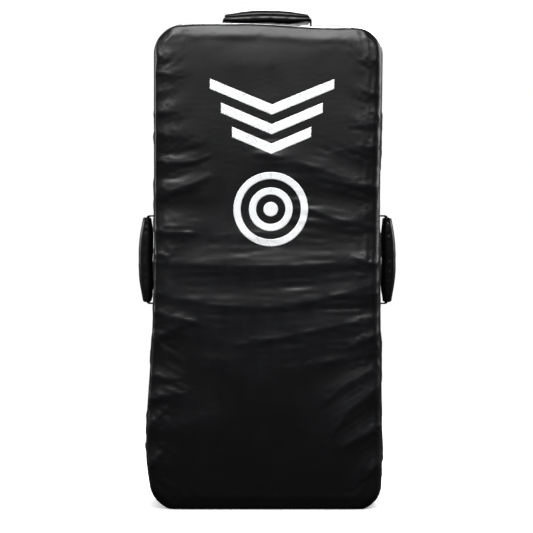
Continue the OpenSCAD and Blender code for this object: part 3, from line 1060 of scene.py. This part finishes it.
def grip(h, seed):
    """Closed tube over u and a turn angle: a superellipse section, drawn in at both ends.

    v is the half width times the cosine to a small power, and w the half depth times the sine.
    """
    around = 72
    close = np.linspace(0, math.pi / 2, 9)[1:]
    body_u = np.linspace(-h.reach, h.reach, int(h.reach * 2 / (1.6 * MM)))
    cap_u = h.reach + 2.6 * MM * np.sin(close)
    u = np.concatenate([-cap_u[::-1], body_u, cap_u])
    shut = np.concatenate([close[::-1], np.zeros_like(body_u), close])
    u, turn = np.meshgrid(u, np.arange(around) / around * 2 * math.pi, indexing="ij")
    shut = np.broadcast_to(shut[:, None], u.shape)
    c, s = np.cos(turn), np.sin(turn)
    k = np.clip(np.abs(u) / h.reach, 0, 1)
    half_v = h.band_w / 2 * (1 - 0.10 * k ** 4)
    half_w = h.depth(np.clip(u, -h.reach, h.reach)) / 2 * (1 + 0.06 * np.sin(k * math.pi))
    near_seam = np.exp(-((np.abs(s) / 0.16) ** 2))
    v = np.sign(c) * np.abs(c) ** 0.5 * (half_v - 1.1 * MM * near_seam)
    w = np.sign(s) * np.abs(s) ** 0.8 * half_w
    wrinkle = noise(u + h.mid[0], v * 0.5, 8 * MM, seed) * np.where(s < 0, 0.55, 0.22) * MM
    gather = np.cos(turn * 11 + 2 * noise(turn * MM * 30, u * 0, 10 * MM, seed)) * 0.5 * MM * k ** 8
    pinch = noise(u, v * 0 + seed, 5 * MM, seed + 1) * 0.5 * MM * near_seam
    v = v + (pinch + gather) * np.sign(c) * np.abs(c) ** 0.5
    w = w + (wrinkle + gather) * s
    draw_v, draw_w = 1 - 0.22 * (1 - np.cos(shut)), 1 - 0.62 * (1 - np.cos(shut))
    w = h.middle(np.clip(u, -h.reach, h.reach)) + w * draw_w
    points = h.world(u, v * draw_v, w)
    piece = add_piece(h.name + "_grip", points, tube_faces(*u.shape), np.stack([u, v], -1))
    piece.data.materials.append(GRIP)
    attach(piece, h.body)
    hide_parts(h.name + "_sleeve", h.name + "_padding")


for seed, handle in enumerate(handles):
    grip(handle, 60 + 5 * seed)

# %% [markdown]
# ## Webbing
#
# One strap serves both ends: sewn tab, square bend, leg, bend into the grip, and back down. Its path
# in u and w is a chain of straights and arcs. The section is a flat oblong with rounded edges carried
# along that path.

# %% Strap path


def strap_path(h):
    """Centre line of the strap in u and w, from the end of one tab to the end of the other."""
    low = LEG_T / 2
    leg_u = h.span / 2 - low
    foot = 1.6 * MM
    arc = np.linspace(0, math.pi / 2, 9)
    tab_u = np.linspace(h.span / 2 + TAB_GAP + TAB_L, leg_u + foot, 24)[:-1]
    tab = np.stack([tab_u, np.full_like(tab_u, low)], -1)
    bend = np.stack([leg_u + foot * (1 - np.sin(arc)), low + foot * (1 - np.cos(arc))], -1)
    top_w = h.middle(h.reach)
    leg_w = np.linspace(low + foot, top_w - LEG_BEND, 10)[1:-1]
    leg = np.stack([np.full_like(leg_w, leg_u), leg_w], -1)
    over = np.stack([leg_u - LEG_BEND * (1 - np.cos(arc)), top_w - LEG_BEND * (1 - np.sin(arc))], -1)
    grip_u = np.linspace(h.reach, -h.reach, 60)[1:-1]
    inner = np.stack([grip_u, h.middle(grip_u)], -1)
    half = np.concatenate([tab, bend, leg, over])
    return np.concatenate([half, inner, (half * [-1, 1])[::-1]])


# %% Flat section along the path


def follow_cover(h, points, w):
    """Move what is sewn down in or out with the settled cover; above the skin this dies away."""
    out = h.axes[2]
    moved = np.stack(settle(*np.moveaxis(points, -1, 0)), -1)
    shift = (moved - points) @ out * (1 - smooth((w - LEG_T) / (7 * MM)))
    return points + shift[..., None] * out


def strap(h, seed):
    """A flat section with half-round edges carried along the path, square to it."""
    path = strap_path(h)
    step = np.gradient(path, axis=0)
    step /= np.hypot(*step.T)[:, None]
    side = np.stack([-step[:, 1], step[:, 0]], -1)
    run = np.concatenate([[0], np.cumsum(np.hypot(*np.diff(path, axis=0).T))])
    half_v, half_t = h.strap_w / 2, LEG_T / 2
    flat = np.linspace(-half_v + half_t, half_v - half_t, 15)
    nose = np.linspace(-math.pi / 2, math.pi / 2, 7)[1:-1]
    v = np.concatenate([flat, half_v - half_t + half_t * np.cos(nose), flat[::-1],
                        -half_v + half_t - half_t * np.cos(nose)])
    t = np.concatenate([np.full(15, -half_t), half_t * np.sin(nose), np.full(15, half_t),
                        -half_t * np.sin(nose)])
    wave = noise(run[:, None] + 0 * v, v[None, :] + 0 * run[:, None], 18 * MM, seed) * 0.25 * MM
    lifted = smooth((path[:, 1] - 2 * MM) / (4 * MM))[:, None]
    t = t[None, :] * np.ones((len(path), 1)) + wave * lifted
    u = path[:, :1] + side[:, :1] * t
    w = path[:, 1:] + side[:, 1:] * t
    v = np.broadcast_to(v, u.shape)
    uv = np.stack([np.broadcast_to(run[:, None], u.shape), v], -1)
    points = follow_cover(h, h.world(u, v, w), w)
    piece = add_piece(h.name + "_strap", points, tube_faces(*u.shape), uv)
    piece.data.materials.append(WEBBING)
    base = h.world(np.array(0.0), np.array(0.0), np.array(0.0))
    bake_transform(piece)
    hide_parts(h.name + "_webbing", h.name + "_tabs")


for seed, handle in enumerate(handles):
    strap(handle, 90 + seed)

# %% [markdown]
# ## Thread
#
# Every sewn end is held by a box of stitches with a cross in it. A stitch is a short arched capsule
# of thread whose ends dive into the webbing. One small capsule is repeated along every line, turned
# to it and set on the tab.

# %% One stitch, many times
STITCH, STITCH_GAP, STITCH_R = 3.0 * MM, 0.7 * MM, 0.34 * MM
STITCH_RINGS, STITCH_SIDES = 7, 6


def stitch_rows(lines):
    """Centres and directions of stitches along straight lines given by their ends."""
    centres, along = [], []
    for start, end in lines:
        start, end = np.array(start, float), np.array(end, float)
        run = np.linalg.norm(end - start)
        count = max(int(run / (STITCH + STITCH_GAP)), 1)
        at = (np.arange(count) + 0.5) / count
        centres.append(start + (end - start) * at[:, None])
        along.append(np.tile((end - start) / run, (count, 1)))
    return np.concatenate(centres), np.concatenate(along)


def stitches(name, centres, along, up):
    """Capsules along a direction: the arch is a half sine, the section a ring that thins out."""
    angles = np.arange(STITCH_SIDES) / STITCH_SIDES * 2 * math.pi
    t, a = np.meshgrid(np.linspace(0, 1, STITCH_RINGS), angles, indexing="ij")
    arch, thin = np.sin(math.pi * t), 0.35 + 0.65 * np.sin(math.pi * t) ** 0.4
    height = STITCH_R * thin * np.sin(a) + (arch - 0.55) * STITCH_R * 0.9
    shape = np.stack([(t - 0.5) * STITCH, STITCH_R * thin * np.cos(a), height], -1).reshape(-1, 3)
    up = np.broadcast_to(up, along.shape)
    frames = np.stack([along, np.cross(up, along), up], 1)
    points = centres[:, None, :] + np.einsum("pk,nkj->npj", shape, frames)
    quads = np.array(grid_faces(STITCH_RINGS, STITCH_SIDES, wrap=True))
    caps = np.array(tube_faces(STITCH_RINGS, STITCH_SIDES)[-2:])
    first = np.arange(len(centres))[:, None, None] * t.size
    faces = (quads[None] + first).reshape(-1, 4).tolist()
    faces += (caps[None] + first).reshape(-1, STITCH_SIDES).tolist()
    uv = np.tile(np.stack([t * STITCH, a * STITCH_R], -1).reshape(-1, 2), (len(centres), 1))
    piece = add_piece(name, points, faces, uv)
    piece.data.materials.append(THREAD)
    return piece


# %% Box and cross on each sewn end


def box_and_cross(h):
    """Stitches on both tabs of a handle, in its own frame."""
    long_half, wide_half = TAB_L / 2 - 6 * MM, h.strap_w / 2 - 4 * MM
    lines = []
    for side in (-1, 1):
        cu = side * (h.span / 2 + TAB_GAP + TAB_L / 2)
        corners = [(cu - long_half, -wide_half), (cu + long_half, -wide_half),
                   (cu + long_half, wide_half), (cu - long_half, wide_half)]
        pairs = [(0, 1), (1, 2), (2, 3), (3, 0), (0, 2), (1, 3)]
        lines += [((*corners[a], LEG_T), (*corners[b], LEG_T)) for a, b in pairs]
    centres, along = stitch_rows(lines)
    centres = follow_cover(h, h.world(*centres.T), centres[:, 2])
    piece = stitches(h.name + "_box_stitches", centres, along @ h.axes, h.axes[2])
    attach(piece, "shield")
    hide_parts(h.name + "_stitching")


for handle in handles:
    box_and_cross(handle)

# %% [markdown]
# ## The zip
#
# A coil zip is a nylon helix sewn along the edge of each tape. The coil is drawn as a squashed helix
# whose turns reach almost to the middle. The tapes are woven ribbons behind the panel edges, and a row
# of stitches holds each one.

# %% Coils
WIRE_SIDES = 6


def coil(name, side, node):
    """Helix along x: z swings across the rail and y bulges outwards, both by the turn's angle."""
    low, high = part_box(node)
    pitch, wire, inner = 1.5 * MM, 0.42 * MM, 0.5 * MM
    turns = int((high.x - low.x) / pitch)
    angle = np.linspace(0, turns * 2 * math.pi, turns * 12 + 1)
    wide = (high.z - low.z) + abs(low.z - ZIP_Z if side > 0 else high.z - ZIP_Z) - inner
    fit = (high.x - low.x - 2 * wire) / (turns * pitch)
    x = low.x + wire + angle / (2 * math.pi) * pitch * fit
    z = ZIP_Z + side * (inner + wire + (wide - 2 * wire) * (0.5 + 0.5 * np.cos(angle)))
    y = (low.y + high.y) / 2 + (high.y - low.y - 2 * wire) / 2 * np.sin(angle)
    path = np.stack([x, y, z], -1)
    step = np.gradient(path, axis=0)
    step /= np.linalg.norm(step, axis=1)[:, None]
    first = np.cross(step, [1.0, 0, 0])
    first /= np.linalg.norm(first, axis=1)[:, None]
    second = np.cross(step, first)
    turn = (np.arange(WIRE_SIDES) / WIRE_SIDES * 2 * math.pi)[:, None]
    points = path[:, None] + wire * (first[:, None] * np.cos(turn) + second[:, None] * np.sin(turn))
    piece = add_piece(name, points, tube_faces(len(path), WIRE_SIDES))
    piece.data.materials.append(NYLON)
    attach(piece, "shield")
    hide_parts(node)


coil("zip_coil_above", 1, "zip_coil_upper")
coil("zip_coil_below", -1, "zip_coil_lower")

# %% Tapes and their stitches


def tape(name, node):
    """Woven ribbon with a shallow ripple, in its CAD box."""
    low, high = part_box(node)
    along, across = np.linspace(low.x, high.x, 160), np.linspace(low.z, high.z, 12)
    x, z = np.meshgrid(along, across, indexing="ij")
    y = high.y - 0.08 * MM * (3.5 + noise(x, z, 12 * MM, 5))
    points = np.stack([x, y, z], -1)
    piece = add_piece(name, points, grid_faces(*x.shape), np.stack([x, z], -1))
    piece.data.materials.append(TAPE)
    thicken(piece, 0.5 * MM)
    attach(piece, "shield")
    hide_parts(node)


tape("zip_tape_above", "zip_tape_upper")
tape("zip_tape_below", "zip_tape_lower")
low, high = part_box("zip_stitching")
lines = [((low.x, low.y, z), (high.x, low.y, z)) for z in (low.z + 0.3 * MM, high.z - 0.3 * MM)]
centres, along = stitch_rows(lines)
piece = stitches("zip_seam_thread", centres, along, np.array([0, 1.0, 0]))
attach(piece, "shield")
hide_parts("zip_stitching")

# %% Finishes of the CAD nodes that stay
KEPT = {"foam_strike": FIRM_FOAM, "foam_back": FIRM_FOAM, "foam_core_front": CORE_FOAM,
        "foam_core_rear": CORE_FOAM, "backing_patches": CANVAS, "zip_stops": ZIP_METAL,
        "zip_slider": ZIP_METAL, "zip_pull": ZIP_METAL}
for node, material in KEPT.items():
    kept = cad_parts[node]
    kept.data.materials.clear()
    kept.data.materials.append(material)
    if material is ZIP_METAL:
        edge = kept.modifiers.new("rounded edges", "BEVEL")
        edge.width, edge.segments, edge.limit_method = 0.25 * MM, 3, "ANGLE"

# %% [markdown]
# ## Floor, light and camera
#
# The shield stands on pale paper in a white room. The white is for the eye only: the black cover
# would mirror it and turn grey. A soft light high in front catches the upper flank of every fold, a
# weak one at each side draws the handles, and a strong one behind draws the line of the top edge.
# The camera is far off with a long lens, level with the middle.

# %% Stage


def stage_finish(name):
    """Matt white near the shield, so that it takes a shadow, and glowing paper further off.

    The glow is for the eye only: in the cover's sheen the floor is as dim as the room.
    """
    s = Shader(name, Specular_IOR_Level=0.1, Roughness=0.9, Emission_Strength=1.0)
    away = s.node("ShaderNodeVectorMath", {"operation": "LENGTH"}, {0: s.place()})[1]
    far = away.below(0.5, 1.3)
    seen = s.node("ShaderNodeLightPath")[0]
    paper = s.mix(far, rgba(0, 0, 0), rgba(0.85, 0.85, 0.85))
    glow = s.mix(far, rgba(1, 1, 1), rgba(0.3, 0.3, 0.3))
    s.set(Base_Color=s.mix(seen, rgba(0.02, 0.02, 0.02), paper))
    s.set(Emission_Color=s.mix(seen, rgba(0.01, 0.01, 0.01), glow))
    return s.material


def studio_floor():
    """A wide flat disc of paper."""
    turn, r = np.meshgrid(np.linspace(0, 2 * math.pi, 65), np.linspace(0.001, 9.0, 4), indexing="ij")
    return np.stack([r * np.cos(-turn), r * np.sin(-turn), 0 * r], -1)


points = studio_floor()
floor = add_piece("studio_floor", points, grid_faces(*points.shape[:2]))
floor.data.materials.append(stage_finish("white studio paper"))

# %% Lights


def soft_light(name, place, target, size, power):
    """A rectangular area light at a place, turned towards a target."""
    lamp = bpy.data.lights.new(name, "AREA")
    lamp.shape, lamp.size, lamp.size_y, lamp.energy = "RECTANGLE", size[0], size[1], power
    holder = bpy.data.objects.new(name, lamp)
    holder.location = place
    aim = np.array(target) - np.array(place)
    holder.rotation_euler = Vector(aim).to_track_quat("-Z", "Y").to_euler()
    bpy.context.scene.collection.objects.link(holder)


soft_light("overhead", (-0.25, -1.8, 2.1), (0, 0, 0.3), (1.9, 0.8), 88)
soft_light("left side", (-2.0, 0.6, 1.2), (0, 0, 0.4), (0.9, 1.4), 30)
soft_light("right side", (2.0, 0.6, 1.2), (0, 0, 0.4), (0.9, 1.4), 28)
soft_light("rear", (0.6, 2.2, 1.8), (0, 0, 0.35), (1.9, 1.0), 110)


def studio_world():
    """White to the eye, dim as a light: the camera sees paper, the shield sees a dark room."""
    world = bpy.data.worlds.new("studio")
    world.use_nodes = True
    tree = world.node_tree
    seen, dim = tree.nodes["Background"], tree.nodes.new("ShaderNodeBackground")
    seen.inputs["Strength"].default_value = 1.0
    seen.inputs["Color"].default_value = (1, 1, 1, 1)
    dim.inputs["Color"].default_value = (1, 1, 1, 1)
    dim.inputs["Strength"].default_value = 0.05
    ray, blend = tree.nodes.new("ShaderNodeLightPath"), tree.nodes.new("ShaderNodeMixShader")
    tree.links.new(ray.outputs["Is Camera Ray"], blend.inputs[0])
    tree.links.new(dim.outputs[0], blend.inputs[1])
    tree.links.new(seen.outputs[0], blend.inputs[2])
    tree.links.new(blend.outputs[0], tree.nodes["World Output"].inputs["Surface"])
    return world


bpy.context.scene.world = studio_world()
bpy.context.scene.view_settings.view_transform = "Standard"

# %% Camera
lens = bpy.data.cameras.new("camera")
lens.lens, lens.sensor_width = 111.0, 36.0
camera = bpy.data.objects.new("camera", lens)
camera.location = (-0.001, -2.6, 0.39)
camera.rotation_euler = (math.radians(90 - 0.35), 0, 0)
bpy.context.scene.collection.objects.link(camera)
bpy.context.scene.camera = camera
